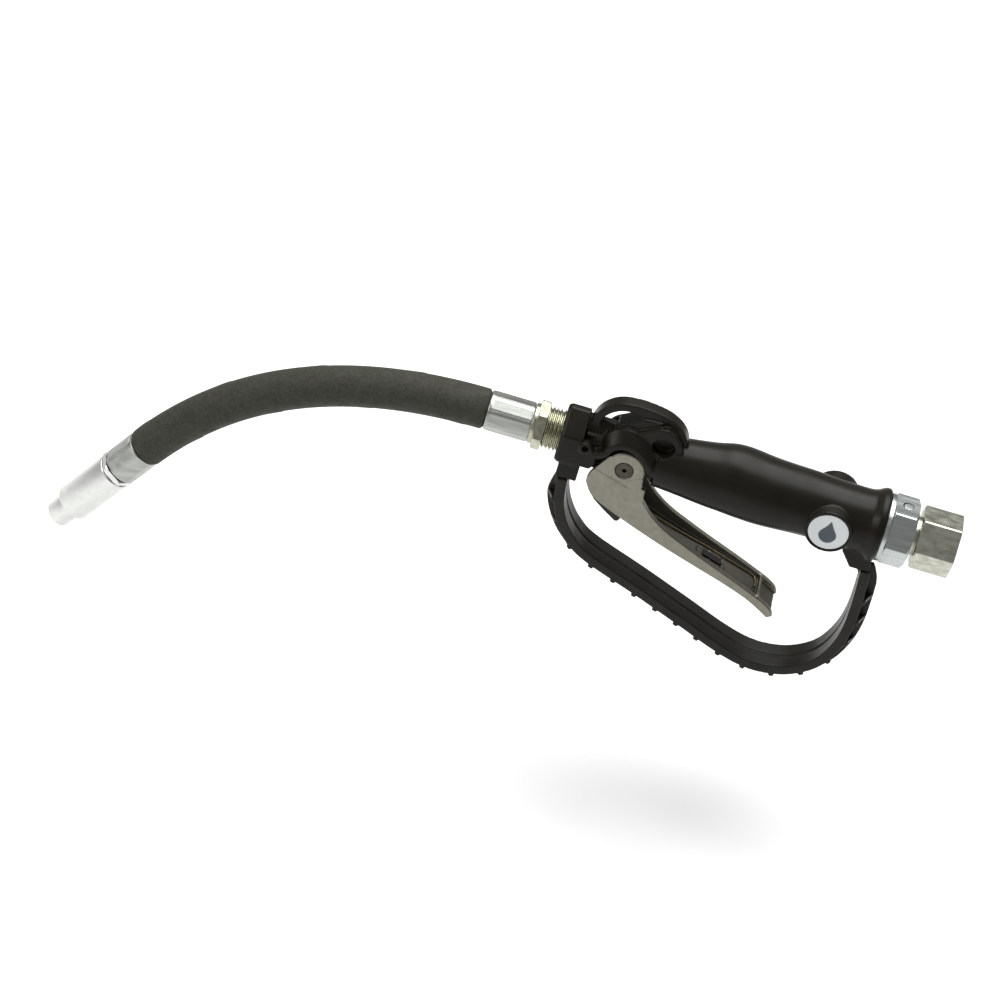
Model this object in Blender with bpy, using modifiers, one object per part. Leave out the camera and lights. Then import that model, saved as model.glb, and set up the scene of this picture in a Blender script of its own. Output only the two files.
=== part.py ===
"""Manual fuel and oil control nozzle with a swivel inlet and a flexible hose spout.

Frame: the handle's flow axis is X, pointing out of the inlet, and +Z is the top of the handle.
The origin is the centre of the inlet nut's end face. Every size below is in millimetres.
"""
import math

import bmesh
import bpy
from mathutils import Matrix, Vector

MM = 0.001
GAP = 0.3
NAME = "fuel_nozzle"

# Inlet swivel, measured back from the origin along the handle's axis
NUT_FLATS = 27.0
NUT_LENGTH = 19.0
NECK_R = 9.4
NECK_END = -30.9
INLET_BORE_R = 9.3
INLET_BORE_DEPTH = 14.0
COLLAR_FLATS = 30.0
COLLAR_FROM, COLLAR_TO = -33.1, -21.4
SPIGOT_R = 13.0
SPIGOT_END = -48.0
WASHER_FROM, WASHER_TO = -35.5, -33.4
RACE_X = -27.0

# Handle casting
HANDLE_REAR = -35.8
MAIN_BORE_R = 10.4
MAIN_BORE_END = -108.0
BLOCK_FRONT, BLOCK_REAR = -193.5, -182.5
BLOCK_HALF_WIDTH = 12.5
OUTLET_THREAD_R = 10.4
BADGE_X, BADGE_FACE_Y = -60.5, 17.5
BOSS_R, BADGE_R = 11.2, 9.6

# Trigger and the valve it opens
PIVOT_X, PIVOT_Z = -160.0, -4.0
PIVOT_R = 4.1
TRIGGER_HALF_WIDTH = 10.7
CHEEK = 2.8
WEB_HALF_WIDTH = 6.6
CAM_X, CAM_Z, CAM_R = -153.5, -10.5, 2.0
STEM_Z = -8.5
STEM_END = CAM_X + CAM_R + GAP

# Guard
GUARD_HALF_WIDTH = 9.0
GUARD_RIM, GUARD_FLOOR, GUARD_KEEL = 4.9, 2.2, 9.4
RIB_START, RIB_PITCH = 12.3, 12.75
FRONT_PIN = (-186.2, -15.5)
REAR_PIN = (-38.4, -19.2)
PIN_R = 1.5

# Hose spout: a smooth curve in the gun's own plane, then the straight nozzle
HOSE_R, HOSE_BORE_R, CRIMPED_R = 10.05, 6.6, 8.3
FERRULE_R, FERRULE_WALL = 9.6, 1.0
HOSE_START_X = -229.7
NOZZLE_START = Vector((-383.9, 0.0, -79.6))
NOZZLE_ANGLE = math.radians(57.24)
NOZZLE_DIR = Vector((-math.cos(NOZZLE_ANGLE), 0.0, -math.sin(NOZZLE_ANGLE)))
BEND_HANDLES = (61.0, 70.0)
GUN_FERRULE_LENGTH, NOZZLE_FERRULE_LENGTH = 21.6, 18.0
ADAPTOR_FLATS = 21.0

X_AXIS = Vector((1.0, 0.0, 0.0))
Y_AXIS = Vector((0.0, 1.0, 0.0))


# ---------------------------------------------------------------- scene and helpers

def clear_scene():
    for obj in list(bpy.data.objects):
        bpy.data.objects.remove(obj)


def new_collection(name):
    collection = bpy.data.collections.new(name)
    bpy.context.scene.collection.children.link(collection)
    return collection


def finish_material(obj, colour, roughness, metallic):
    material = bpy.data.materials.new(obj.name)
    material.use_nodes = True
    shader = material.node_tree.nodes["Principled BSDF"]
    shader.inputs["Base Color"].default_value = (*colour, 1.0)
    shader.inputs["Roughness"].default_value = roughness
    shader.inputs["Metallic"].default_value = metallic
    obj.data.materials.clear()
    obj.data.materials.append(material)


BLACK = ((0.02, 0.02, 0.019), 0.45, 0.0)
RUBBER = ((0.03, 0.03, 0.026), 0.75, 0.0)
ZINC = ((0.62, 0.64, 0.62), 0.3, 1.0)
GREY_CAST = ((0.24, 0.23, 0.21), 0.45, 0.8)
STEEL = ((0.45, 0.45, 0.45), 0.35, 1.0)
BRASS = ((0.6, 0.45, 0.2), 0.35, 1.0)
LABEL = ((0.75, 0.78, 0.78), 0.4, 0.0)


def link_part(obj, finish):
    parts.objects.link(obj)
    finish_material(obj, *finish)
    obj.data.shade_smooth()
    obj.data.set_sharp_from_angle(angle=math.radians(35))
    return obj


def as_cutter(obj):
    cutters.objects.link(obj)
    obj.hide_render = True
    obj.display_type = 'WIRE'
    return obj


def mesh_object(name, bm):
    bmesh.ops.recalc_face_normals(bm, faces=bm.faces)
    mesh = bpy.data.meshes.new(name)
    bm.to_mesh(mesh)
    bm.free()
    return bpy.data.objects.new(name, mesh)


def frame_along(direction, at):
    """A matrix that takes local Z to direction, with its origin at a point in millimetres."""
    turn = Vector(direction).to_track_quat('Z', 'Y').to_matrix().to_4x4()
    return Matrix.Translation(Vector(at) * MM) @ turn


def box(name, low, high):
    bm = bmesh.new()
    bmesh.ops.create_cube(bm, size=1.0)
    size = [(b - a) * MM for a, b in zip(low, high)]
    centre = [(a + b) * MM / 2 for a, b in zip(low, high)]
    bmesh.ops.scale(bm, vec=size, verts=bm.verts)
    bmesh.ops.translate(bm, vec=centre, verts=bm.verts)
    return mesh_object(name, bm)


def rod(name, radius, start, end, sides=32, end_radius=None):
    """A cylinder, cone or prism between two points."""
    start, end = Vector(start), Vector(end)
    bm = bmesh.new()
    bmesh.ops.create_cone(bm, cap_ends=True, segments=sides, radius1=radius * MM,
                          radius2=(radius if end_radius is None else end_radius) * MM,
                          depth=(end - start).length * MM)
    obj = mesh_object(name, bm)
    obj.data.transform(frame_along(end - start, (start + end) / 2))
    return obj


def turned(name, profile, at=(0, 0, 0), along=X_AXIS, steps=40):
    """A closed (radius, distance) profile turned round the axis through at, along a direction."""
    area = sum(a[0] * b[1] - b[0] * a[1] for a, b in zip(profile, profile[1:] + profile[:1]))
    points = profile if area < 0 else list(reversed(profile))
    mesh = bpy.data.meshes.new(name)
    count = len(points)
    mesh.from_pydata([(r * MM, 0, z * MM) for r, z in points],
                     [(i, (i + 1) % count) for i in range(count)], [])
    obj = bpy.data.objects.new(name, mesh)
    obj.matrix_world = frame_along(along, at)
    screw = obj.modifiers.new("turn", 'SCREW')
    screw.steps = screw.render_steps = steps
    screw.use_merge_vertices = True
    screw.merge_threshold = 0.00001
    return obj


def sleeve(name, outer, inner, start, length, along=X_AXIS, steps=40):
    return turned(name, [(inner, 0), (inner, length), (outer, length), (outer, 0)],
                  start, along, steps)


def baked(obj):
    """The object as a plain mesh, with its modifiers and its place worked in."""
    bpy.context.scene.collection.objects.link(obj)
    graph = bpy.context.evaluated_depsgraph_get()
    mesh = bpy.data.meshes.new_from_object(obj.evaluated_get(graph))
    bm = bmesh.new()
    bm.from_mesh(mesh)
    bmesh.ops.remove_doubles(bm, verts=bm.verts, dist=1e-6)
    bm.to_mesh(mesh)
    bm.free()
    name, place = obj.name, obj.matrix_world.copy()
    bpy.data.objects.remove(obj)
    new = bpy.data.objects.new(name, mesh)
    new.matrix_world = place
    return new


def plate(name, outline, y_low, y_high):
    """A flat outline of (x, z) points, from y_low to y_high."""
    curve = bpy.data.curves.new(name, 'CURVE')
    curve.dimensions = '2D'
    curve.fill_mode = 'BOTH'
    curve.extrude = (y_high - y_low) * MM / 2
    spline = curve.splines.new('POLY')
    spline.points.add(len(outline) - 1)
    for point, (x, z) in zip(spline.points, outline):
        point.co = (x * MM, z * MM, 0, 1)
    spline.use_cyclic_u = True
    obj = bpy.data.objects.new(name, curve)
    obj.matrix_world = (Matrix.Translation((0, (y_low + y_high) * MM / 2, 0))
                        @ Matrix.Rotation(math.radians(90), 4, 'X'))
    return baked(obj)


def wire(name, points, radius, resolution=2):
    """A round wire through a list of points."""
    curve = bpy.data.curves.new(name, 'CURVE')
    curve.dimensions = '3D'
    curve.bevel_depth = radius * MM
    curve.bevel_resolution = resolution
    curve.use_fill_caps = True
    spline = curve.splines.new('POLY')
    spline.points.add(len(points) - 1)
    for point, place in zip(spline.points, points):
        point.co = (*(Vector(place) * MM), 1)
    return baked(bpy.data.objects.new(name, curve))


def loft(name, rings):
    """A closed skin over rings of points; the last ring joins the first if they are the same."""
    bm = bmesh.new()
    rows = [[bm.verts.new(Vector(p) * MM) for p in ring] for ring in rings]
    sides = len(rows[0])
    for row, following in zip(rows, rows[1:]):
        for i in range(sides):
            j = (i + 1) % sides
            bm.faces.new((row[i], row[j], following[j], following[i]))
    bm.faces.new(rows[0])
    bm.faces.new(list(reversed(rows[-1])))
    return mesh_object(name, bm)


def boolean(obj, operation, others, solver='EXACT'):
    for other in others:
        if not other.users_collection:
            as_cutter(other)
        modifier = obj.modifiers.new(operation.lower(), 'BOOLEAN')
        modifier.operation = operation
        modifier.solver = solver
        modifier.object = other
    return obj


def join(obj, *others, solver='EXACT'):
    return boolean(obj, 'UNION', others, solver)


def cut(obj, *others, solver='EXACT'):
    return boolean(obj, 'DIFFERENCE', others, solver)


def arc(centre, radius, start, end, count):
    """Points on an arc in the (x, z) plane, angles in degrees."""
    angles = [math.radians(start + (end - start) * i / (count - 1)) for i in range(count)]
    return [(centre[0] + radius * math.cos(a), centre[1] + radius * math.sin(a)) for a in angles]


def smooth_line(points, per_span=4):
    """A Catmull-Rom line through (x, z) points."""
    ends = [points[0]] + list(points) + [points[-1]]
    line = []
    for p0, p1, p2, p3 in zip(ends, ends[1:], ends[2:], ends[3:]):
        for step in range(per_span):
            t = step / per_span
            line.append(tuple(
                0.5 * (2 * b + (c - a) * t + (2 * a - 5 * b + 4 * c - d) * t * t
                       + (3 * b - a - 3 * c + d) * t ** 3)
                for a, b, c, d in zip(p0, p1, p2, p3)))
    return line + [tuple(points[-1])]


def offset_line(line, distance):
    """The line moved sideways, to the left of its direction."""
    moved = []
    for i, point in enumerate(line):
        before, after = line[max(i - 1, 0)], line[min(i + 1, len(line) - 1)]
        step = Vector((after[0] - before[0], after[1] - before[1])).normalized()
        moved.append((point[0] - step.y * distance, point[1] + step.x * distance))
    return moved


def hexagon(name, flats, x_from, x_to, chamfers=(1.4, 1.4), turn=0.0):
    """A hexagon bar along X with a flat on top and its corners chamfered at each end."""
    corner = flats / math.sqrt(3)
    bar = rod(name, corner, (x_from, 0, 0), (x_to, 0, 0), sides=6)
    bar.data.transform(Matrix.Rotation(math.radians(30 + turn), 4, 'X'))
    front, rear = chamfers
    limit = turned(name + "_chamfer", [
        (0, x_from - 1), (corner - front - 1, x_from - 1), (corner + 1, x_from + front + 1),
        (corner + 1, x_to - rear - 1), (corner - rear - 1, x_to + 1), (0, x_to + 1)])
    return boolean(bar, 'INTERSECT', [limit])


# ---------------------------------------------------------------- handle casting

def handle_ring(x, radius, centre_z, sides=40):
    points = []
    for i in range(sides):
        angle = 2 * math.pi * i / sides
        points.append((x, radius * math.cos(angle), centre_z + radius * math.sin(angle)))
    return points


def grip():
    """The hand grip: waisted at both ends, with a palm swell two thirds of the way forward."""
    stations = [(HANDLE_REAR, 17.4, 0), (-36.6, 18.0, 0), (-38.6, 18.0, 0), (-40.7, 17.0, 0),
                (-43.0, 15.9, 0), (-47.0, 15.4, 0.1), (-60.0, 15.5, 0.2), (-72.0, 15.8, 0.6),
                (-84.0, 16.3, 0.4), (-94.0, 16.8, 0.5), (-104.0, 17.1, 1.3), (-112.0, 16.7, 1.5),
                (-121.0, 15.4, 0.6), (-134.0, 13.8, 0.2), (-146.0, 12.7, 0.0)]
    return loft("handle_casting", [handle_ring(*station) for station in stations])


def outlet_block():
    """The block that takes the spout: flat cheeks, chamfered below and roofed above."""
    outline = [(-12.5, 6.4), (-1.8, 16.2), (1.8, 16.2), (12.5, 6.4),
               (12.5, -8.3), (8.0, -12.0), (-8.0, -12.0), (-12.5, -8.3)]
    rings = [[(x, y * s, z * s) for y, z in outline]
             for x, s in ((BLOCK_FRONT, 0.93), (BLOCK_FRONT + 1.6, 1.0), (BLOCK_REAR, 1.0))]
    return loft("outlet_block", rings)


def block_heel():
    """The lower half of the block, which reaches back under the hook to the trigger's head."""
    outline = [(-184, 4.0), (-178.5, 4.0), (-175.8, 1.0), (-174.6, -3.5), (-174.9, -6.3),
               (-176.4, -8.3), (-184, -8.3)]
    return plate("block_heel", outline, -12.1, 12.1)


def saddle():
    """The bridge over the trigger's head."""
    outline = [(-184, 7.7), (-141, 7.7), (-141, -8.0), (-147, -9.0), (-150.5, -4.0), (-176, -4.0),
               (-184, -9.0)]
    return plate("saddle", outline, -7.0, 7.0)


def gallery_ridge():
    """The ridge that carries the flow over the saddle, widening towards the handle."""
    stations = ((-184, 2.0, 13.9, 7.4, 4.5), (-170, 2.0, 13.9, 7.6, 5.0),
                (-166, 4.6, 14.2, 7.8, 6.0), (-140.6, 5.6, 14.6, 9.0, 8.2))
    return loft("gallery_ridge", [[(x, -foot, -4.4), (x, -foot, low), (x, -crest, high), (x, crest, high),
                                   (x, foot, low), (x, foot, -4.4)]
                                  for x, crest, high, foot, low in stations])


RIB_CREST = [(-145.2, -0.5), (-148.0, 0.9), (-151.2, 4.0), (-155.2, 7.9), (-160.7, 10.2),
             (-165.4, 9.6), (-169.6, 6.9), (-171.9, 2.5), (-175.8, 0.5)]
RIB_SLOPE = [3.5, 5.0, 5.5, 5.5, 5.5, 5.5, 4.2, 1.2, 1.0]


def cheek_rib(side):
    """The curved rib over the trigger's head: its crest stands out, and slopes back behind."""
    crest = smooth_line(RIB_CREST, 3)
    slopes = [width for _, width in smooth_line(list(enumerate(RIB_SLOPE)), 3)]
    rings = []
    for near, top, slope in zip(offset_line(crest, 2.4), offset_line(crest, -0.5), slopes):
        out = (Vector(top) - Vector(near)).normalized()
        far = Vector(top) + out * slope
        rings.append([(near[0], side * 4.3, near[1]), (near[0], side * 11.8, near[1]),
                      (top[0], side * 11.8, top[1]), (far.x, side * 6.8, far.y),
                      (far.x, side * 4.3, far.y)])
    return loft("cheek_rib", rings)


def pivot_web():
    """The tongue between the trigger's cheeks that holds the pivot pin."""
    outline = ([(-183, 7.1), (-183, -9.5), (-172, -11.0)]
               + arc((PIVOT_X, PIVOT_Z), 6.5, -90, 20, 10) + [(-152, 7.1)])
    return plate("pivot_web", outline, -WEB_HALF_WIDTH, WEB_HALF_WIDTH)


def hook_loop():
    """The hanging eye over the ridge, thin in front and filled in towards the handle."""
    outer = smooth_line([(-182.6, 6.4), (-180.6, 16.5), (-176.5, 23), (-170, 27), (-161.5, 28.2),
                         (-153.5, 27.7), (-146.4, 26.2), (-140.8, 23.2), (-137.2, 19.6), (-134.8, 14.5),
                         (-133.3, 6.4)], 3)
    inner = [(-158.4, 22.6), (-164.5, 23.8), (-170, 22.6), (-174.5, 19.2), (-176.8, 15.2), (-178, 9)]
    return plate("hook_loop", outer + [(-150, 9), (-150, 21)] + inner, -3.6, 3.6)


def hook_gusset():
    """The sloping floor of the eye, which rises to the hook behind it."""
    outline = [(-169, 9), (-169, 15.8), (-157.6, 22.9), (-149, 23.5), (-149, 9)]
    return plate("hook_gusset", outline, -5.0, 5.0)


def hook_shoulder(side):
    """The wider step beside the hook's root, that the oval pocket is sunk into."""
    outline = [(-161.3, 5.8), (-161.3, 14.6), (-155.4, 18.4), (-149.6, 21.6), (-145.5, 22.2),
               (-141.2, 20.2), (-137.6, 16.0), (-134.9, 9.5), (-134.5, 5.8)]
    return plate("hook_shoulder", outline, *sorted((side * 3.3, side * 7.4)))


def front_lug():
    return box("front_lug", (-190.6, -8.4, -19.8), (-180.4, 8.4, -9))


def rear_lug():
    outline = [(-50.5, -10), (-50.5, -14.5), (-44.8, -22.3), (-35.6, -22.3), (-35.6, -10)]
    return plate("rear_lug", outline, -8.4, 8.4)


def badge_boss(side):
    return rod("badge_boss", BOSS_R, (BADGE_X, 0, 0), (BADGE_X, side * (BADGE_FACE_Y + 0.3), 0), 36)


POCKET_OUTLINE = [(-145.4 + 5.4 * math.cos(a), 12.2 + 4.3 * math.sin(a))
                  for a in [math.tau * i / 24 for i in range(24)]]


# Room for the trigger's head, opening downwards past its cam
CHEEK_POCKET = (arc((PIVOT_X, PIVOT_Z), 11.4, -5, 290, 32)
                + [(-153, -20), (-143.2, -20), (-143.2, -11), (-146.4, -5)])


def handle_casting():
    body = join(grip(), outlet_block(), block_heel(), saddle(), gallery_ridge(), pivot_web(), hook_loop(),
                hook_gusset(), front_lug(), rear_lug(),
                rod("screw_boss", 2.9, (-180.6, -9, 3.1), (-180.6, -13.2, 3.1), 24),
                solver='MANIFOLD')
    for side in (-1, 1):
        join(body, cheek_rib(side), hook_shoulder(side), badge_boss(side), solver='MANIFOLD')
    bores = [
        rod("spigot_bore", SPIGOT_R + GAP, (0, 0, 0), (SPIGOT_END - 0.5, 0, 0), 40),
        rod("main_bore", MAIN_BORE_R, (0, 0, 0), (MAIN_BORE_END, 0, 0), 40),
        rod("valve_chamber", 5.4, (-100, 0, STEM_Z), (-130, 0, STEM_Z), 28),
        rod("seat_bore", 4.6, (-129, 0, STEM_Z), (-133.3, 0, STEM_Z), 28),
        rod("stem_cavity", 3.6, (-133, 0, STEM_Z), (-140, 0, STEM_Z), 24),
        rod("gland_bore", 3.1, (-139, 0, STEM_Z), (-150, 0, STEM_Z), 24),
        rod("riser", 2.6, (-136.5, 0, STEM_Z), (-136.5, 0, 8.0), 18),
        rod("gallery", 2.9, (-133, 0, 8.0), (-182.6, 0, 8.0), 20),
        rod("outlet_bore", 8.6, (-181.2, 0, 0), (-186, 0, 0), 34),
        rod("outlet_thread", OUTLET_THREAD_R + GAP, (-184, 0, 0), (-200, 0, 0), 40),
        rod("pivot_hole", PIVOT_R + GAP, (PIVOT_X, -20, PIVOT_Z), (PIVOT_X, 20, PIVOT_Z), 32),
        rod("screw_hole", 1.6, (-180.6, -20, 3.1), (-180.6, -10.4, 3.1), 20),
        plate("front_slot", [(-195, -30), (-182.3, -30), (-182.3, -12.4), (-195, -12.4)], -3.3, 3.3),
        plate("rear_slot", [(-44.2, -30), (-30, -30), (-30, -16.0), (-44.2, -16.0)], -3.3, 3.3),
        rod("front_pin_hole", PIN_R + GAP, (FRONT_PIN[0], -20, FRONT_PIN[1]),
            (FRONT_PIN[0], 20, FRONT_PIN[1]), 20),
        rod("rear_pin_hole", PIN_R + GAP, (REAR_PIN[0], -20, REAR_PIN[1]),
            (REAR_PIN[0], 20, REAR_PIN[1]), 20),
    ]
    for side in (-1, 1):
        y = side * (BADGE_FACE_Y - 1.0)
        bores.append(rod("badge_seat", BADGE_R + GAP, (BADGE_X, y, 0), (BADGE_X, side * 25, 0), 36))
        bores.append(plate("side_pocket", POCKET_OUTLINE, *sorted((side * 3.2, side * 16))))
        bores.append(plate("cheek_pocket", CHEEK_POCKET, *sorted((side * WEB_HALF_WIDTH, side * 18))))
    return link_part(cut(body, *bores, solver='MANIFOLD'), BLACK)


# ---------------------------------------------------------------- guard

GUARD_INNER = [(-184.2, -20.2), (-182.7, -33.0), (-178.9, -43.0), (-172.4, -51.9),
               (-162.6, -59.0), (-135.9, -69.5), (-109.6, -80.4), (-91.0, -88.3),
               (-77.0, -92.4), (-65.4, -92.4), (-54.9, -89.0), (-45.5, -81.4), (-39.9, -70.0),
               (-37.5, -57.0), (-37.7, -40.0), (-39.0, -22.7)]


def line_stations(line, pitch, first):
    """Points, directions and running lengths every pitch along a line."""
    stations, travelled, target = [], 0.0, first
    for a, b in zip(line, line[1:]):
        step = Vector((b[0] - a[0], b[1] - a[1]))
        while travelled + step.length >= target:
            place = Vector(a) + step * ((target - travelled) / step.length)
            stations.append((place, step.normalized()))
            target += pitch
        travelled += step.length
    return stations


def guard_rib(place, direction):
    """One cross rib: low at the rims, where it ends in a nub, and rising to the keel."""
    side, nub, top = GUARD_HALF_WIDTH - 0.05, GUARD_RIM + 1.4, GUARD_KEEL - 0.4
    section = [(-side, 1.3), (-side, nub), (-side + 1.8, nub), (-1.0, top),
               (1.0, top), (side - 1.8, nub), (side, nub), (side, 1.3)]
    out = Vector((direction.y, -direction.x))
    rings = []
    for shift in (-1.2, 1.2):
        foot = place + direction * shift
        rings.append([(foot.x + out.x * h, y, foot.y + out.y * h) for y, h in section])
    return loft("guard_rib", rings)


def guard_section(keel):
    """Half the band's section as (y, height above the inner face), mirrored to the other half."""
    half = GUARD_HALF_WIDTH
    right = [(0.5, 0.5), (0.9, 0.0), (half, 0.0), (half, GUARD_RIM), (half - 1.6, GUARD_RIM),
             (half - 1.6, GUARD_FLOOR), (1.1, GUARD_FLOOR), (1.1, keel)]
    return right + [(-y, h) for y, h in reversed(right)]


def guard_band():
    line = smooth_line(GUARD_INNER, 4)
    rings = []
    for i, place in enumerate(line):
        before, after = line[max(i - 1, 0)], line[min(i + 1, len(line) - 1)]
        step = Vector((after[0] - before[0], after[1] - before[1])).normalized()
        ends = min((i + 0.5) / 4, (len(line) - i) / 3, 1.0)
        keel = GUARD_RIM + (GUARD_KEEL - GUARD_RIM) * ends
        rings.append([(place[0] + step.y * h, y, place[1] - step.x * h) for y, h in guard_section(keel)])
    band = loft("guard_band", rings)
    tabs = [plate("guard_front_tab", [(-189.8, -29), (-184.6, -29), (-182.8, -21), (-182.8, -12.8),
                                      (-189.8, -12.8)], -3.0, 3.0),
            plate("guard_rear_tab", [(-38.5, -29), (-34.6, -29), (-35.7, -16.9), (-42.6, -16.9),
                                     (-42.6, -22.4)], -3.0, 3.0)]
    ribs = [guard_rib(*station) for station in line_stations(line, RIB_PITCH, RIB_START)[:-1]]
    holes = [rod("guard_pin_hole", PIN_R + 0.1, (x, -20, z), (x, 20, z), 20)
             for x, z in (FRONT_PIN, REAR_PIN)]
    return link_part(cut(join(band, *tabs, *ribs), *holes), BLACK)


def guard_pin(name, place):
    return link_part(rod(name, PIN_R - 0.2, (place[0], -8.3, place[1]), (place[0], 8.3, place[1]), 20),
                     STEEL)


# ---------------------------------------------------------------- trigger

TRIGGER_FLOOR = [(-173.5, -20.6), (-168.9, -25.0), (-154.1, -31.8), (-133.0, -40.0),
                 (-111.3, -47.3), (-98.2, -51.6), (-84.7, -57.0), (-73.8, -63.6)]


def trigger_outline():
    """One cheek, from the rounded head down to the tip of the lever."""
    head = arc((PIVOT_X, PIVOT_Z), 9.7, -12, 140, 16)
    front = [(-168.4, 1.4), (-173.2, -7.0), (-175.7, -12.8), (-175.9, -16.2)]
    rear = [(-71.5, -61.8), (-73.2, -58.9), (-78.6, -55.3), (-84.9, -52.4), (-95.8, -47.6),
            (-109.0, -42.2), (-122.7, -36.2), (-133.0, -31.2), (-141.5, -25.0), (-147.4, -18.2),
            (-147.8, -12.2), (-149.8, -11.6), (-150.1, -7.4)]
    return head + front + TRIGGER_FLOOR + rear


def trigger_lever():
    side = TRIGGER_HALF_WIDTH
    lever = plate("trigger_lever", trigger_outline(), -side, -side + CHEEK)
    under = [(x + 0.4, z + 0.3) for x, z in TRIGGER_FLOOR]
    floor = under + offset_line(under, 2.0)[::-1]
    join(lever, plate("far_cheek", trigger_outline(), side - CHEEK, side),
         plate("trigger_floor", floor, -side + 0.5, side - 0.5),
         rod("cam_bar", CAM_R, (CAM_X, -side + 1, CAM_Z), (CAM_X, side - 1, CAM_Z), 20),
         box("latch_stop", (-102.1, -side + 1, -50.0), (-100.7, -0.6, -46.6)),
         box("rear_web", (-81.7, -side + 1, -57.4), (-80.3, side - 1, -53.6)))
    cut(lever,
        rod("pivot_hole", PIVOT_R + GAP, (PIVOT_X, -20, PIVOT_Z), (PIVOT_X, 20, PIVOT_Z), 32),
        rod("thumb_notch", 8.0, (-64.6, 0, -68), (-64.6, 0, -52), 24),
        along_latch("latch_recess", -8.8, 14.1, 2.6, 0.2, 3.0),
        along_latch("latch_slot", -2.8, 8.1, 1.5, -6.0, 6.0))
    return link_part(lever, GREY_CAST)


LATCH_AT = Vector((-107.2, 0.0, -47.0))
LATCH_SLOPE = 18.4


def along_latch(name, start, length, half_width, low, high):
    """A block laid along the lever's floor, start millimetres down it from the latch's middle."""
    block = box(name, (start, -half_width, low), (start + length, half_width, high))
    block.data.transform(Matrix.Translation(LATCH_AT * MM)
                         @ Matrix.Rotation(math.radians(LATCH_SLOPE), 4, 'Y'))
    return block


def latch_slider():
    """The black slider in the lever's floor: a long flat head on a foot that fills half the slot."""
    head = along_latch("latch_slider", -5.4, 10.4, 2.2, 0.5, 1.5)
    foot = along_latch("latch_foot", 0.6, 4.4, 1.2, -3.0, 1.0)
    return link_part(join(head, foot), BLACK)


def latch_wire():
    """The spring wire lying along the channel, past the slider, and hooked at its far end."""
    path = [(-145.0, 2.4, -32.1), (-138.0, 3.2, -34.8), (-127.0, 4.0, -38.8), (-119.5, 4.4, -41.4),
            (-112.0, 5.0, -43.8), (-101.2, 4.9, -47.2), (-93.2, 5.2, -50.2), (-87.0, 5.9, -52.7),
            (-84.4, 5.2, -53.9), (-83.3, 2.6, -54.3), (-83.5, -2.0, -54.3)]
    return link_part(wire("latch_wire", path, 0.45), STEEL)


def trigger_pad():
    """The black plastic wedge under the front of the lever."""
    top = [(p[0] - 0.1, p[1] - GAP - 0.1) for p in TRIGGER_FLOOR[:3]]
    under = [(-155.8, -35.4), (-157.2, -35.8), (-163.5, -31.6), (-169.5, -27.2), (-173.3, -22.4)]
    return link_part(plate("trigger_pad", top + under, -7.8, 7.8), BLACK)


def pivot_pin():
    pin = rod("pivot_pin", PIVOT_R, (PIVOT_X, -10.9, PIVOT_Z), (PIVOT_X, 10.9, PIVOT_Z), 32)
    centres = [rod("pin_centre", 1.1, (PIVOT_X, side * 9.2, PIVOT_Z), (PIVOT_X, side * 12, PIVOT_Z), 16)
               for side in (-1, 1)]
    return link_part(cut(pin, *centres), STEEL)


# ---------------------------------------------------------------- valve

def valve_parts():
    axis = (0, 0, STEM_Z)
    stem = turned("valve_stem", [(0, STEM_END), (3.0, STEM_END), (3.0, STEM_END + 1.4),
                                 (1.5, STEM_END + 1.4), (1.5, -129.4), (4.6, -129.4),
                                 (4.6, -127.0), (1.8, -127.0), (1.8, -124.0), (0, -124.0)], axis, steps=24)
    link_part(stem, STEEL)
    link_part(sleeve("poppet_seal", 3.9, 1.7, (-130.3, 0, STEM_Z), 0.7, steps=24), RUBBER)
    link_part(sleeve("valve_seat", 4.4, 2.6, (-133.0, 0, STEM_Z), 2.4, steps=24), BRASS)
    link_part(sleeve("stem_gland", 2.8, 1.7, (-146.6, 0, STEM_Z), 5.6, steps=24), BRASS)
    link_part(turned("stem_oring", [(2.35 + 0.5 * math.cos(a), 0.5 * math.sin(a))
                                    for a in [math.tau * i / 8 for i in range(8)]],
                     (-140.2, 0, STEM_Z), steps=20), RUBBER)
    link_part(sleeve("spring_retainer", 5.1, 2.4, (-109.4, 0, STEM_Z), 2.2, steps=24), BRASS)
    turns, per_turn, start, end = 6, 12, -125.9, -110.5
    coil = [(start + (end - start) * i / (turns * per_turn),
             3.2 * math.cos(math.tau * i / per_turn),
             STEM_Z + 3.2 * math.sin(math.tau * i / per_turn)) for i in range(turns * per_turn + 1)]
    link_part(wire("valve_spring", coil, 0.5), STEEL)


def inlet_strainer():
    return link_part(turned("inlet_strainer", [
        (0, -80.0), (7.0, -80.0), (9.0, -52.0), (10.1, -52.0), (10.1, -50.4), (8.4, -50.4),
        (8.4, -52.0), (6.4, -79.2), (0, -79.2)], steps=28), BRASS)


# ---------------------------------------------------------------- inlet swivel

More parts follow.
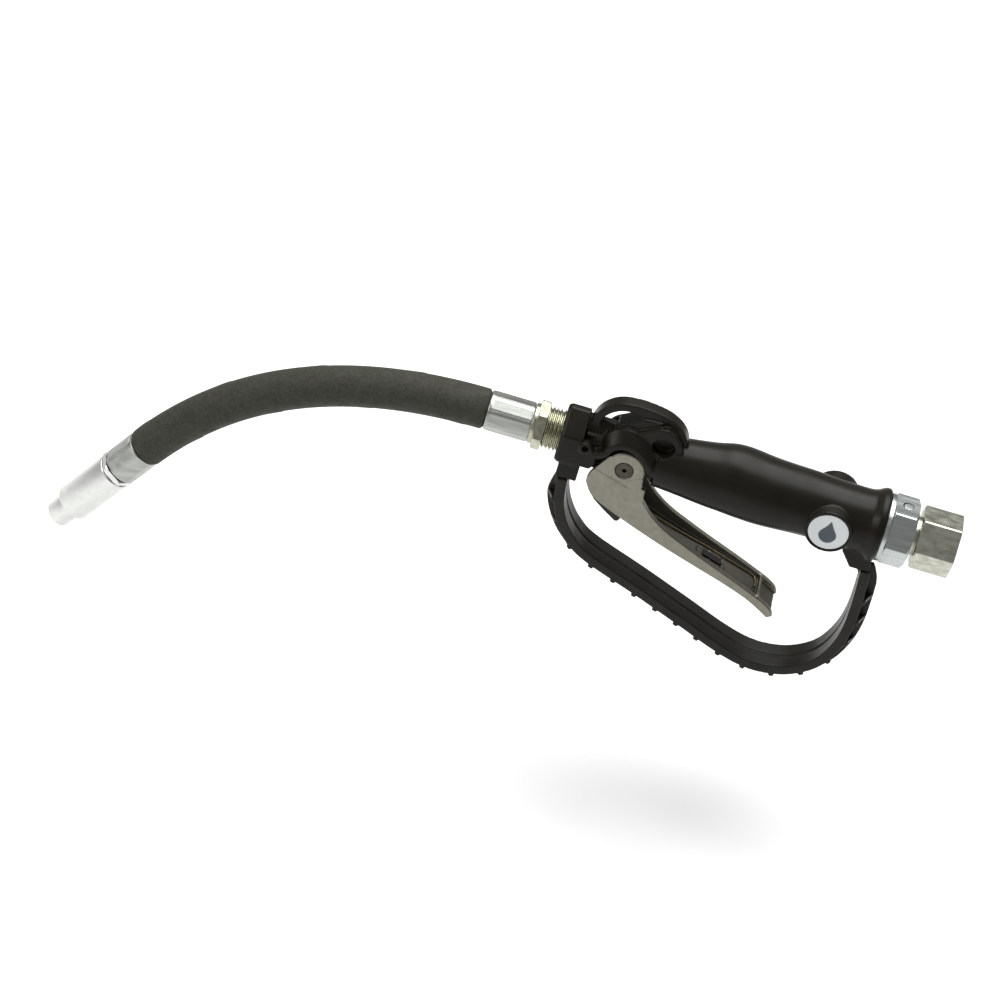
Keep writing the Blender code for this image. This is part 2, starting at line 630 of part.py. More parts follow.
def inlet_swivel():
    race = [(12, RACE_X + 1.1), (8.2, RACE_X + 1.1), (8.2, RACE_X - 1.1), (12, RACE_X - 1.1)]
    nut = hexagon("swivel_fitting", NUT_FLATS, -NUT_LENGTH, 0, (1.0, 0.5), turn=-4.6)
    join(nut, rod("swivel_neck", NECK_R, (NECK_END, 0, 0), (-NUT_LENGTH + 1, 0, 0), 40))
    cut(nut, rod("inlet_bore", INLET_BORE_R, (-INLET_BORE_DEPTH, 0, 0), (5, 0, 0), 40),
        rod("neck_bore", 6.0, (NECK_END - 5, 0, 0), (5, 0, 0), 32), turned("neck_race", race))
    link_part(nut, ZINC)

    collar = hexagon("swivel_collar", COLLAR_FLATS, COLLAR_FROM, COLLAR_TO, (0.5, 1.6))
    join(collar, rod("spigot", SPIGOT_R, (SPIGOT_END, 0, 0), (COLLAR_FROM + 1, 0, 0), 40))
    cut(collar, rod("collar_bore", NECK_R + GAP, (-33.3, 0, 0), (0, 0, 0), 40),
        rod("spigot_through", 6.5, (-60, 0, 0), (0, 0, 0), 32),
        turned("collar_race", [(8, RACE_X - 1.1), (10.9, RACE_X - 1.1),
                               (10.9, RACE_X + 1.1), (8, RACE_X + 1.1)]),
        rod("plug_hole", 2.8, (RACE_X, 0, 9), (RACE_X, 0, 20), 24))
    link_part(collar, ZINC)
    link_part(rod("race_plug", 2.5, (RACE_X, 0, 11.3), (RACE_X, 0, COLLAR_FLATS / 2 - 0.1), 24), STEEL)
    link_part(ring("race_wire", 9.6, 0.85, RACE_X), STEEL)
    link_part(ring("swivel_oring", 8.2, 0.9, -32.1), RUBBER)
    link_part(sleeve("inlet_washer", 16.6, SPIGOT_R + GAP, (WASHER_FROM, 0, 0),
                     WASHER_TO - WASHER_FROM), ZINC)


def ring(name, radius, thickness, x, sides=8):
    profile = [(radius + thickness * math.cos(a), thickness * math.sin(a))
               for a in [math.tau * i / sides for i in range(sides)]]
    return turned(name, profile, (x, 0, 0), steps=32)


def badges():
    for name, side in (("badge_near", -1), ("badge_far", 1)):
        link_part(rod(name, BADGE_R, (BADGE_X, side * (BADGE_FACE_Y - 0.7), 0),
                      (BADGE_X, side * BADGE_FACE_Y, 0), 36), LABEL)


# ---------------------------------------------------------------- spout

def outlet_adaptor():
    """Threaded into the block, with a hexagon and a tail inside the hose."""
    crest, root, pitch = 10.3, 9.2, 1.814
    thread = [(crest, -193.9)]
    x = -193.9
    while x - pitch > -200.6:
        thread += [(root, x - pitch / 2), (crest, x - pitch)]
        x -= pitch
    profile = [(6.0, -184.2), (9.6, -184.2), (crest, -185.2)] + thread + [
        (8.8, -201.0), (8.8, -206.0), (9.0, -206.0), (9.0, -207.8), (6.3, -207.8), (6.3, -228.0),
        (5.0, -228.0), (5.0, -207.0), (6.0, -206.0)]
    adaptor = hexagon("outlet_adaptor", ADAPTOR_FLATS, -206.0, -201.4, (0.8, 1.2), turn=4.4)
    join(adaptor, turned("adaptor_core", profile))
    cut(adaptor, rod("adaptor_bore", 5.0, (-240, 0, 0), (-180, 0, 0), 28))
    return link_part(adaptor, ZINC)


def bezier_path(count):
    """Centre line of the hose's free stretch, from the gun's ferrule to the nozzle's."""
    start = Vector((HOSE_START_X, 0.0, 0.0))
    near = start - X_AXIS * BEND_HANDLES[0]
    far = NOZZLE_START - NOZZLE_DIR * BEND_HANDLES[1]
    path = []
    for i in range(count + 1):
        t = i / count
        path.append(start * (1 - t) ** 3 + near * 3 * t * (1 - t) ** 2
                    + far * 3 * t * t * (1 - t) + NOZZLE_START * t ** 3)
    return path


def hose_tube():
    """The hose as one tube, pinched where the ferrules are crimped onto it."""
    run = bezier_path(22)
    lead = [Vector((HOSE_START_X + d, 0, 0)) for d in (GUN_FERRULE_LENGTH - 0.8, -0.3)]
    tail = [NOZZLE_START + NOZZLE_DIR * d for d in (-0.3, NOZZLE_FERRULE_LENGTH - 0.8)]
    run[0] = Vector((HOSE_START_X - 1.1, 0, 0))
    run[-1] = NOZZLE_START - NOZZLE_DIR * 1.1
    path = lead + run + tail
    radii = [CRIMPED_R] * 2 + [HOSE_R] * len(run) + [CRIMPED_R] * 2
    sides = 24
    rings = []
    for surface in (radii, [HOSE_BORE_R] * len(path)):
        rows = []
        for i, centre in enumerate(path):
            step = (path[min(i + 1, len(path) - 1)] - path[max(i - 1, 0)]).normalized()
            across = Y_AXIS.cross(step).normalized()
            rows.append([centre + (Y_AXIS * math.cos(a) + across * math.sin(a)) * surface[i]
                         for a in [math.tau * k / sides for k in range(sides)]])
        rings.append(rows)
    return tube_mesh("hose", rings[0] + rings[1][::-1])


def tube_mesh(name, rings):
    """A ring of rings: the last is joined back to the first, so the tube is open right through."""
    bm = bmesh.new()
    rows = [[bm.verts.new(p * MM) for p in one] for one in rings]
    sides = len(rows[0])
    for row, following in zip(rows, rows[1:] + rows[:1]):
        for i in range(sides):
            j = (i + 1) % sides
            bm.faces.new((row[i], row[j], following[j], following[i]))
    return link_part(mesh_object(name, bm), RUBBER)


def ferrule(name, start, length, along):
    return link_part(sleeve(name, FERRULE_R, FERRULE_R - FERRULE_WALL, start, length, along), ZINC)


def nozzle_point(distance):
    return NOZZLE_START + NOZZLE_DIR * distance


def nozzle():
    """Coupling, body, tip and the spring-loaded drip valve, along the nozzle's own axis."""
    def part(name, profile, finish, steps=40):
        return link_part(turned(name, profile, NOZZLE_START, NOZZLE_DIR, steps), finish)

    part("nozzle_coupling", [(4.6, 1.0), (6.3, 1.0), (6.3, 18.4), (8.9, 18.4), (8.9, 21.5), (7.4, 21.5),
                             (7.4, 30.0), (4.6, 30.0)], ZINC)
    part("nozzle_body", [(7.7, 21.8), (9.4, 21.8), (9.4, 52.3), (8.6, 53.3), (6.7, 53.3), (6.7, 31.0),
                         (7.7, 30.6)], ZINC)
    part("nozzle_tip", [(4.2, 44.0), (6.4, 44.0), (6.4, 53.6), (6.8, 53.6), (6.8, 63.9), (5.9, 65.0),
                        (4.2, 65.0)], ZINC)
    part("drip_poppet", [(0, 30.3), (5.6, 30.3), (5.9, 31.0), (5.9, 32.6), (2.0, 32.6), (2.0, 38.0),
                         (0, 38.0)], BRASS, 24)
    turns, per_turn, start, end = 4, 12, 33.4, 43.2
    across = Y_AXIS.cross(NOZZLE_DIR)
    coil = [nozzle_point(start + (end - start) * i / (turns * per_turn))
            + (Y_AXIS * math.cos(math.tau * i / per_turn)
               + across * math.sin(math.tau * i / per_turn)) * 4.6
            for i in range(turns * per_turn + 1)]
    link_part(wire("drip_spring", coil, 0.45), STEEL)


def spout():
    outlet_adaptor()
    ferrule("gun_ferrule", (HOSE_START_X, 0, 0), GUN_FERRULE_LENGTH, X_AXIS)
    hose_tube()
    ferrule("nozzle_ferrule", NOZZLE_START, NOZZLE_FERRULE_LENGTH, NOZZLE_DIR)
    nozzle()


clear_scene()
parts = new_collection(NAME)
cutters = new_collection("cutters")
handle_casting()
guard_band()
guard_pin("guard_front_pin", FRONT_PIN)
guard_pin("guard_rear_pin", REAR_PIN)
badges()
pivot_pin()
trigger_lever()
trigger_pad()
latch_slider()
latch_wire()
valve_parts()
inlet_strainer()
inlet_swivel()
spout()
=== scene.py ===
"""Looks for the fuel nozzle: finishes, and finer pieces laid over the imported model.

The handle's flow axis is X, out of the inlet, and +Z is the top of the handle. The origin is the
centre of the inlet nut's end face. Shapes are written in millimetres and made in metres.
"""
import math

import bmesh
import bpy
from mathutils import Matrix, Vector


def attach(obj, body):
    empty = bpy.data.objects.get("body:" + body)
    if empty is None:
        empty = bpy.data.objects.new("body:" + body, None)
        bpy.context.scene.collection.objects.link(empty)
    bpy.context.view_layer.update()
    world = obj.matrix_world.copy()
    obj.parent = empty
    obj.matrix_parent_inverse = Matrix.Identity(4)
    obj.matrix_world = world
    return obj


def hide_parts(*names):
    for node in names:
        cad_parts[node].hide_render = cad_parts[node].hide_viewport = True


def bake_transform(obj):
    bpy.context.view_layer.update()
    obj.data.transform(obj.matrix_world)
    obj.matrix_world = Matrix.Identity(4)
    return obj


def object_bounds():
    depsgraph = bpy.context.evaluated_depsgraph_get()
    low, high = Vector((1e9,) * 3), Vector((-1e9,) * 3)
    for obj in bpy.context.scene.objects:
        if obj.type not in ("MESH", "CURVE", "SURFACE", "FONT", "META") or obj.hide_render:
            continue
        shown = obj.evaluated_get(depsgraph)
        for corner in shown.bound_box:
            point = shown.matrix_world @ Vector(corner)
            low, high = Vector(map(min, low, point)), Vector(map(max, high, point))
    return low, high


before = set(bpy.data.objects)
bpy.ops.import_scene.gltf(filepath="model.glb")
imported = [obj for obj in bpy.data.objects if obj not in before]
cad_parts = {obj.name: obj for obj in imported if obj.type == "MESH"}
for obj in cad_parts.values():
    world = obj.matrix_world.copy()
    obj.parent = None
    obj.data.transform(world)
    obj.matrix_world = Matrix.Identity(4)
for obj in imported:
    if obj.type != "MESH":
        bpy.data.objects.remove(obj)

MM = 0.001
X_AXIS = Vector((1.0, 0.0, 0.0))
Y_AXIS = Vector((0.0, 1.0, 0.0))
cad_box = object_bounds()

# Camera, and how far the floor lies below the object
VIEW_DISTANCE = 1.8
VIEW_ELEVATION = math.radians(36.5)
VIEW_ROLL = math.radians(16.45)
FOCAL_LENGTH, SENSOR = 137.4, 36.0
VIEW_CENTRE = Vector((-0.2121, -0.0234, -0.0317))
FLOOR_DROP = 0.03

# Spout: the hose's free stretch is one cubic bend, then the straight nozzle
HOSE_R, CRIMPED_R = 10.05, 8.3
HOSE_START = Vector((-229.7, 0.0, 0.0))
NOZZLE_START = Vector((-383.9, 0.0, -79.6))
NOZZLE_ANGLE = math.radians(57.24)
NOZZLE_DIR = Vector((-math.cos(NOZZLE_ANGLE), 0.0, -math.sin(NOZZLE_ANGLE)))
BEND_HANDLES = (61.0, 70.0)
FERRULE_R = 9.6
GUN_FERRULE_LENGTH, NOZZLE_FERRULE_LENGTH = 21.6, 18.0

# Inlet swivel
NUT_FLATS, NUT_LENGTH = 27.0, 19.0
COLLAR_FLATS, COLLAR_FROM, COLLAR_TO = 30.0, -33.1, -21.4
CORNER_EASE = 0.22

# Trigger pivot and the valve stem's height
PIVOT_X, PIVOT_Z = -160.0, -4.0
STEM_Z = -8.5

# How finishes are laid: metal grain drawn out along X, and the hose wrap's threads
DRAWN = (0.12, 1.0, 1.0)
THREAD_SPACING = 0.0011
HOSE_GIRTH = round(math.tau * HOSE_R * MM, 4)


# ---------------------------------------------------------------- camera, light and floor

def place_camera():
    back = Vector((0.0, -math.cos(VIEW_ELEVATION), math.sin(VIEW_ELEVATION)))
    turn = back.to_track_quat('Z', 'Y').to_matrix() @ Matrix.Rotation(VIEW_ROLL, 3, 'Z')
    data = bpy.data.cameras.new("camera")
    data.lens, data.sensor_width, data.clip_end = FOCAL_LENGTH, SENSOR, 20.0
    camera = bpy.data.objects.new("camera", data)
    camera.matrix_world = Matrix.Translation(VIEW_CENTRE + back * VIEW_DISTANCE) @ turn.to_4x4()
    bpy.context.scene.collection.objects.link(camera)
    bpy.context.scene.camera = camera


def add_light(name, place, size, power):
    """A square soft box that faces the middle of the object."""
    data = bpy.data.lights.new(name, 'AREA')
    data.size, data.energy = size, power
    light = bpy.data.objects.new(name, data)
    place = VIEW_CENTRE + Vector(place)
    light.matrix_world = (Matrix.Translation(place)
                          @ (place - VIEW_CENTRE).to_track_quat('Z', 'Y').to_matrix().to_4x4())
    bpy.context.scene.collection.objects.link(light)


def light_studio():
    world = bpy.data.worlds.new("studio")
    world.use_nodes = True
    world.node_tree.nodes["Background"].inputs["Color"].default_value = (1.0, 1.0, 1.0, 1.0)
    world.node_tree.nodes["Background"].inputs["Strength"].default_value = 0.3
    bpy.context.scene.world = world
    add_light("top_box", (0.1, 0.35, 1.2), 1.2, 25)
    add_light("side_box", (-1.0, -0.5, 0.7), 0.5, 5)
    bpy.context.scene.view_settings.view_transform = 'Standard'


def lay_floor():
    """A white floor, low enough that the nozzle clears it when the hose bends furthest."""
    mesh = bpy.data.meshes.new("floor")
    half, level = 4.0, cad_box[0].z - FLOOR_DROP
    mesh.from_pydata([(x * half, y * half, level) for x, y in ((-1, -1), (1, -1), (1, 1), (-1, 1))],
                     [], [(0, 1, 2, 3)])
    floor = bpy.data.objects.new("floor", mesh)
    bpy.context.scene.collection.objects.link(floor)
    paint = Paint("floor_paint", (0.94, 0.94, 0.94), 0.9)
    paint.mottle(6, (0.93, 0.93, 0.93), (0.95, 0.95, 0.95))
    mesh.materials.append(paint.material)


# ---------------------------------------------------------------- finishes

class Paint:
    """A Principled material with helpers that lay noise over its colour, gloss and surface."""

    def __init__(self, name, colour, roughness, metallic=0.0, specular=0.5):
        self.material = bpy.data.materials.new(name)
        self.material.use_nodes = True
        self.tree = self.material.node_tree
        self.shader = self.tree.nodes["Principled BSDF"]
        self.shader.inputs["Base Color"].default_value = (*colour, 1.0)
        self.shader.inputs["Roughness"].default_value = roughness
        self.shader.inputs["Metallic"].default_value = metallic
        self.shader.inputs["Specular IOR Level"].default_value = specular
        self.place = self.node("ShaderNodeTexCoord").outputs["Object"]

    def node(self, kind, **inputs):
        node = self.tree.nodes.new(kind)
        for name, value in inputs.items():
            self.feed(node.inputs[name.replace("_", " ")], value)
        return node

    def feed(self, socket, value):
        if isinstance(value, bpy.types.NodeSocket):
            self.tree.links.new(value, socket)
        else:
            socket.default_value = value

    def stretched(self, scale):
        """Object coordinates scaled along each axis, for grain that runs one way."""
        mapping = self.node("ShaderNodeMapping", Vector=self.place)
        mapping.inputs["Scale"].default_value = scale
        return mapping.outputs["Vector"]

    def noise(self, per_metre, detail=3.0, rough=0.5, at=None):
        node = self.node("ShaderNodeTexNoise", Scale=per_metre, Detail=detail, Roughness=rough,
                         Vector=at or self.place)
        return node.outputs["Fac"]

    def ramp(self, value, *stops):
        """A colour between two (place, colour) stops."""
        node = self.node("ShaderNodeValToRGB", Fac=value)
        for element, (place, colour) in zip(node.color_ramp.elements, stops):
            element.position, element.color = place, (*colour, 1.0)
        return node.outputs["Color"]

    def math(self, operation, a, b=0.0):
        node = self.node("ShaderNodeMath")
        node.operation = operation
        self.feed(node.inputs[0], a)
        self.feed(node.inputs[1], b)
        return node.outputs["Value"]

    def mottle(self, per_metre, dark, light, detail=4.0, edges=(0.35, 0.65), at=None):
        """Colour that drifts between two shades."""
        shade = self.ramp(self.noise(per_metre, detail, at=at), (edges[0], dark), (edges[1], light))
        self.feed(self.shader.inputs["Base Color"], shade)
        return shade

    def gloss(self, per_metre, low, high, detail=4.0, at=None):
        spread = self.node("ShaderNodeMapRange", Value=self.noise(per_metre, detail, at=at),
                           From_Min=0.3, From_Max=0.7, To_Min=low, To_Max=high)
        self.feed(self.shader.inputs["Roughness"], spread.outputs["Result"])

    def relief(self, height, depth_mm):
        bump = self.node("ShaderNodeBump", Strength=1.0, Distance=depth_mm * MM, Height=height)
        self.feed(self.shader.inputs["Normal"], bump.outputs["Normal"])

    def brushed_metal(self, dark, light, low, high, grain=(1, 1, 1)):
        """Plated metal: faintly uneven colour and gloss, and a fine grain drawn out along an axis."""
        drawn = self.stretched(grain)
        shade = self.mottle(420, dark, light, detail=7.0, edges=(0.25, 0.75), at=drawn)
        self.gloss(300, low, high, detail=5.0, at=drawn)
        self.relief(self.noise(1500, 6.0, 0.7, at=drawn), 0.02)
        return shade

    def paint_inner_shade(self, shade, half_mm, share):
        """Paints shade: takes a share of the brightness from whatever lies near the object's middle plane."""
        across = self.node("ShaderNodeSeparateXYZ", Vector=self.place).outputs["Y"]
        inside = self.math('LESS_THAN', self.math('ABSOLUTE', across), half_mm * MM)
        value = self.math('SUBTRACT', 1.0, self.math('MULTIPLY', inside, share))
        dimmed = self.node("ShaderNodeHueSaturation", Color=shade, Value=value)
        self.feed(self.shader.inputs["Base Color"], dimmed.outputs["Color"])

    def cloth_wrap(self):
        """The print of a tightly woven tape: a fine diagonal weave with paler lint in it."""
        place = self.node("ShaderNodeTexCoord").outputs["UV"]
        spread = self.node("ShaderNodeMapping", Vector=place)
        spread.inputs["Scale"].default_value = (1.0, HOSE_GIRTH, 1.0)
        spread.inputs["Rotation"].default_value = (0.0, 0.0, math.radians(40))
        axes = self.node("ShaderNodeSeparateXYZ", Vector=spread.outputs["Vector"])
        threads = [self.math('SINE', self.math('MULTIPLY', axes.outputs[axis], math.tau / THREAD_SPACING))
                   for axis in ("X", "Y")]
        weave = self.math('MULTIPLY', *threads)
        lumps = self.noise(900, 5.0, 0.7)
        self.relief(self.math('ADD', weave, self.math('MULTIPLY', lumps, 2.5)), 0.06)
        self.mottle(700, (0.026, 0.027, 0.018), (0.042, 0.043, 0.031), detail=8.0)
        self.gloss(200, 0.62, 0.82)

    def moulded(self, dark, light, low, high, grain_mm=0.02):
        """Painted casting or moulded plastic: faint orange peel and handled patches."""
        self.mottle(90, dark, light)
        self.gloss(70, low, high, detail=6.0)
        self.relief(self.noise(2200, 3.0), grain_mm)


# ---------------------------------------------------------------- shape tools

def mesh_object(name, bm):
    bmesh.ops.recalc_face_normals(bm, faces=bm.faces)
    mesh = bpy.data.meshes.new(name)
    bm.to_mesh(mesh)
    bm.free()
    obj = bpy.data.objects.new(name, mesh)
    bpy.context.scene.collection.objects.link(obj)
    return obj


def show(obj, body, slot, paint, *replaced, sharp=35):
    """Puts a finished piece on its body, with its finish, in place of the CAD nodes it stands for."""
    obj.data.materials.clear()
    obj.data.materials.append(paint.material)
    obj.data.shade_smooth()
    if sharp:
        obj.data.set_sharp_from_angle(angle=math.radians(sharp))
    if body:
        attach(obj, body)
    if replaced:
        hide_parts(*replaced)
    return obj


def frame_along(direction, at):
    turn = Vector(direction).to_track_quat('Z', 'Y').to_matrix().to_4x4()
    return Matrix.Translation(Vector(at) * MM) @ turn


def skin(name, path, sides, outer, inner):
    """A body of revolution that needn't be round, along a path of (point, distance) stations.

    outer(distance, angle) and inner(distance) give its radii. Angle 0 faces +Y, and 90 degrees is
    to the left of the path's direction, up for a path that runs along -X.
    """
    bm = bmesh.new()
    uv = bm.loops.layers.uv.new("wrap")
    points = [Vector(point) for point, _ in path]
    angles = [math.tau * k / sides for k in range(sides)]
    rows, places = [], {}
    for surface in (outer, lambda s, a: inner(s)):
        for i, (point, s) in enumerate(path):
            step = (points[min(i + 1, len(path) - 1)] - points[max(i - 1, 0)]).normalized()
            across = Y_AXIS.cross(step).normalized()
            row = [bm.verts.new((point + (Y_AXIS * math.cos(a) + across * math.sin(a))
                                 * surface(s, a)) * MM) for a in angles]
            for vert, a in zip(row, angles):
                places[vert] = (s * MM, a)
            rows.append(row)
    count = len(path)
    rows[count:] = rows[:count - 1:-1]
    for row, following in zip(rows, rows[1:] + rows[:1]):
        for i in range(sides):
            j = (i + 1) % sides
            face = bm.faces.new((row[i], row[j], following[j], following[i]))
            for loop, k in zip(face.loops, (i, i + 1, i + 1, i)):
                loop[uv].uv = (places[loop.vert][0], k / sides)
    return mesh_object(name, bm)


def straight(start, direction, length, step):
    """Stations along a straight line, as (point, distance) pairs."""
    count = max(int(round(length / step)), 1)
    distances = [length * i / count for i in range(count + 1)]
    return [(Vector(start) + Vector(direction) * s, s) for s in distances]


def turned(name, profile, at, along=X_AXIS, steps=96, rounding=0.0):
    """A closed (radius, distance) profile turned round an axis, with its corners eased."""
    area = sum(a[0] * b[1] - b[0] * a[1] for a, b in zip(profile, profile[1:] + profile[:1]))
    points = profile if area < 0 else list(reversed(profile))
    if rounding:
        points = eased(points, rounding)
    count = len(points)
    mesh = bpy.data.meshes.new(name)
    mesh.from_pydata([(r * MM, 0, z * MM) for r, z in points],
                     [(i, (i + 1) % count) for i in range(count)], [])
    obj = bpy.data.objects.new(name, mesh)
    bpy.context.scene.collection.objects.link(obj)
    obj.matrix_world = frame_along(along, at)
    screw = obj.modifiers.new("turn", 'SCREW')
    screw.steps = screw.render_steps = steps
    screw.use_merge_vertices = True
    screw.merge_threshold = 0.00001
    return applied(obj)


def eased(points, radius, count=4):
    """The closed outline with each corner off the axis rounded by a small arc."""
    smooth = []
    for before, corner, after in zip(points[-1:] + points[:-1], points, points[1:] + points[:1]):
        c, a, b = Vector(corner), Vector(before), Vector(after)
        reach = min(radius, (a - c).length * 0.45, (b - c).length * 0.45)
        if corner[0] < 0.01:
            smooth.append(corner)
            continue
        start, end = c + (a - c).normalized() * reach, c + (b - c).normalized() * reach
        for i in range(count + 1):
            t = i / count
            smooth.append(tuple(start * (1 - t) ** 2 + c * 2 * t * (1 - t) + end * t * t))
    return smooth


def applied(obj):
    """Works an object's modifiers and its place into its mesh."""
    graph = bpy.context.evaluated_depsgraph_get()
    mesh = bpy.data.meshes.new_from_object(obj.evaluated_get(graph))
    mesh.transform(obj.matrix_world)
    name = obj.name
    bpy.data.objects.remove(obj)
    bm = bmesh.new()
    bm.from_mesh(mesh)
    bmesh.ops.remove_doubles(bm, verts=bm.verts, dist=1e-6)
    bpy.data.meshes.remove(mesh)
    return mesh_object(name, bm)


def rod(name, radius, start, end, sides=64):
    start, end = Vector(start), Vector(end)
    bm = bmesh.new()
    bmesh.ops.create_cone(bm, cap_ends=True, segments=sides, radius1=radius * MM, radius2=radius * MM,
                          depth=(end - start).length * MM)
    bmesh.ops.transform(bm, matrix=frame_along(end - start, (start + end) / 2), verts=bm.verts)
    return mesh_object(name, bm)


def block(name, low, high):
    bm = bmesh.new()
    bmesh.ops.create_cube(bm, size=1.0)
    bmesh.ops.scale(bm, vec=[(b - a) * MM for a, b in zip(low, high)], verts=bm.verts)
    bmesh.ops.translate(bm, vec=[(a + b) * MM / 2 for a, b in zip(low, high)], verts=bm.verts)
    return mesh_object(name, bm)


def plate(name, outline, y_low, y_high):
    """A flat outline of (x, z) points, from y_low to y_high."""
    curve = bpy.data.curves.new(name, 'CURVE')
    curve.dimensions, curve.fill_mode = '2D', 'BOTH'
    curve.extrude = (y_high - y_low) * MM / 2
    spline = curve.splines.new('POLY')
    spline.points.add(len(outline) - 1)
    for point, (x, z) in zip(spline.points, outline):
        point.co = (x * MM, z * MM, 0, 1)
    spline.use_cyclic_u = True
    obj = bpy.data.objects.new(name, curve)
    bpy.context.scene.collection.objects.link(obj)
    obj.matrix_world = (Matrix.Translation((0, (y_low + y_high) * MM / 2, 0))
                        @ Matrix.Rotation(math.radians(90), 4, 'X'))
    return applied(obj)


def loft(name, rings):
    bm = bmesh.new()
    rows = [[bm.verts.new(Vector(p) * MM) for p in ring] for ring in rings]
    sides = len(rows[0])
    for row, following in zip(rows, rows[1:]):
        for i in range(sides):
            j = (i + 1) % sides
            bm.faces.new((row[i], row[j], following[j], following[i]))
    bm.faces.new(rows[0])
    bm.faces.new(list(reversed(rows[-1])))
    return mesh_object(name, bm)


def merged(obj, operation, others):
    for other in others:
        modifier = obj.modifiers.new("merge", 'BOOLEAN')
        modifier.operation, modifier.solver, modifier.object = operation, 'EXACT', other
    obj = applied(obj)
    for other in others:
        bpy.data.objects.remove(other)
    return obj


def cast(obj, voxel, passes, keep=0.4):
    """Softens every edge as a casting's are: a fine remesh, smoothed, then thinned again."""
    remesh = obj.modifiers.new("remesh", 'REMESH')
    remesh.mode, remesh.voxel_size = 'VOXEL', voxel * MM
    smooth = obj.modifiers.new("smooth", 'SMOOTH')
    smooth.factor, smooth.iterations = 0.5, passes
    thin = obj.modifiers.new("thin", 'DECIMATE')
    thin.ratio = keep
    return applied(obj)


def arc(centre, radius, start, end, count):
    angles = [math.radians(start + (end - start) * i / (count - 1)) for i in range(count)]
    return [(centre[0] + radius * math.cos(a), centre[1] + radius * math.sin(a)) for a in angles]


def smooth_line(points, per_span=6):
    """A Catmull-Rom line through (x, z) points."""
    ends = [points[0]] + list(points) + [points[-1]]
    line = []
    for p0, p1, p2, p3 in zip(ends, ends[1:], ends[2:], ends[3:]):
        for step in range(per_span):
            t = step / per_span
            line.append(tuple(
                0.5 * (2 * b + (c - a) * t + (2 * a - 5 * b + 4 * c - d) * t * t
                       + (3 * b - a - 3 * c + d) * t ** 3)
                for a, b, c, d in zip(p0, p1, p2, p3)))
    return line + [tuple(points[-1])]


def offset_line(line, distance):
    """The line moved sideways, to the left of its direction."""
    moved = []
    for i, point in enumerate(line):
        before, after = line[max(i - 1, 0)], line[min(i + 1, len(line) - 1)]
        step = Vector((after[0] - before[0], after[1] - before[1])).normalized()
        moved.append((point[0] - step.y * distance, point[1] + step.x * distance))
    return moved


# ---------------------------------------------------------------- spout

def bend_point(t):
    start, end = HOSE_START, NOZZLE_START
    near, far = start - X_AXIS * BEND_HANDLES[0], end - NOZZLE_DIR * BEND_HANDLES[1]
    return (start * (1 - t) ** 3 + near * 3 * t * (1 - t) ** 2
            + far * 3 * t * t * (1 - t) + end * t ** 3)


def hose_path(stations=320):
    """The hose from inside the gun's ferrule to inside the nozzle's, with distances along it."""
    points = [HOSE_START + X_AXIS * d for d in (GUN_FERRULE_LENGTH - 0.8, 0.4)]
    points += [bend_point(i / stations) for i in range(stations + 1)]
    points += [NOZZLE_START + NOZZLE_DIR * d for d in (0.4, NOZZLE_FERRULE_LENGTH - 0.8)]
    path, run = [], 0.0
    for i, point in enumerate(points):
        run += (point - points[max(i - 1, 0)]).length
        path.append((point, run))
    return path


def hose():
    """Rubber hose: the overlapped edge of its cloth wrap winds along it, standing slightly proud."""
    path = hose_path()
    total = path[-1][1]
    pinch, pitch = GUN_FERRULE_LENGTH - 0.8, 46.0

    def outer(s, angle):
        if s < pinch or s > total - pinch + 3.6:
            return CRIMPED_R
        phase = (s / pitch - angle / math.tau) % 1.0
        overlap = 0.22 * max(0.0, 1.0 - phase / 0.2) * min(1.0, phase / 0.012)
        ends = min(s - pinch, total - pinch + 3.6 - s)
        shoulder = 1.0 - max(0.0, 1.0 - ends / 1.6) ** 2
        return CRIMPED_R + (HOSE_R - 0.2 - CRIMPED_R) * shoulder + overlap * shoulder

    cover = Paint("hose_cover", (0.035, 0.035, 0.03), 0.72, specular=0.35)
    cover.cloth_wrap()
    piece = skin("hose_cover", path, 96, outer, lambda s: 6.6)
    show(piece, None, "hose_rubber", cover, "hose", sharp=0)
    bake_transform(piece)


def crimp(flats, depth, length, turn):
    """Outer radius of a crimped ferrule: pressed flats with a pinched ridge between them."""
    def radius(s, angle):
        across = ((angle - turn) * flats / math.tau) % 1.0 - 0.5
        flat = (FERRULE_R - depth) / math.cos(across * math.tau / flats)
        ridge = 0.24 * math.exp(-((abs(across) - 0.5) / 0.035) ** 2)
        pressed = min(flat, FERRULE_R - 0.12) + ridge
        fade = min(1.0, max(0.0, (length - s) / 2.2)) * min(1.0, max(0.0, s / 0.9))
        lip = 0.45 * max(0.0, 1.0 - min(s, length - s) / 0.45) ** 2
        return FERRULE_R - 0.15 + (pressed - FERRULE_R + 0.15) * fade - lip
    return radius


def ferrules():
    zinc = Paint("ferrule_zinc", (0.72, 0.73, 0.71), 0.36, 1.0)
    zinc.brushed_metal((0.31, 0.32, 0.3), (0.46, 0.47, 0.44), 0.28, 0.44, DRAWN)
    for name, body, start, along, length in (
            ("gun_ferrule", "gun", HOSE_START + X_AXIS * GUN_FERRULE_LENGTH, -X_AXIS, GUN_FERRULE_LENGTH),
            ("nozzle_ferrule", "nozzle", NOZZLE_START + NOZZLE_DIR * NOZZLE_FERRULE_LENGTH, -NOZZLE_DIR,
             NOZZLE_FERRULE_LENGTH)):
        shape = crimp(8, 0.45, length, math.radians(12))
        piece = skin(name + "_crimped", straight(start, along, length, 0.3), 192, shape,
                     lambda s: FERRULE_R - 1.0)
        show(piece, body, "zinc_plate", zinc, name, sharp=50)


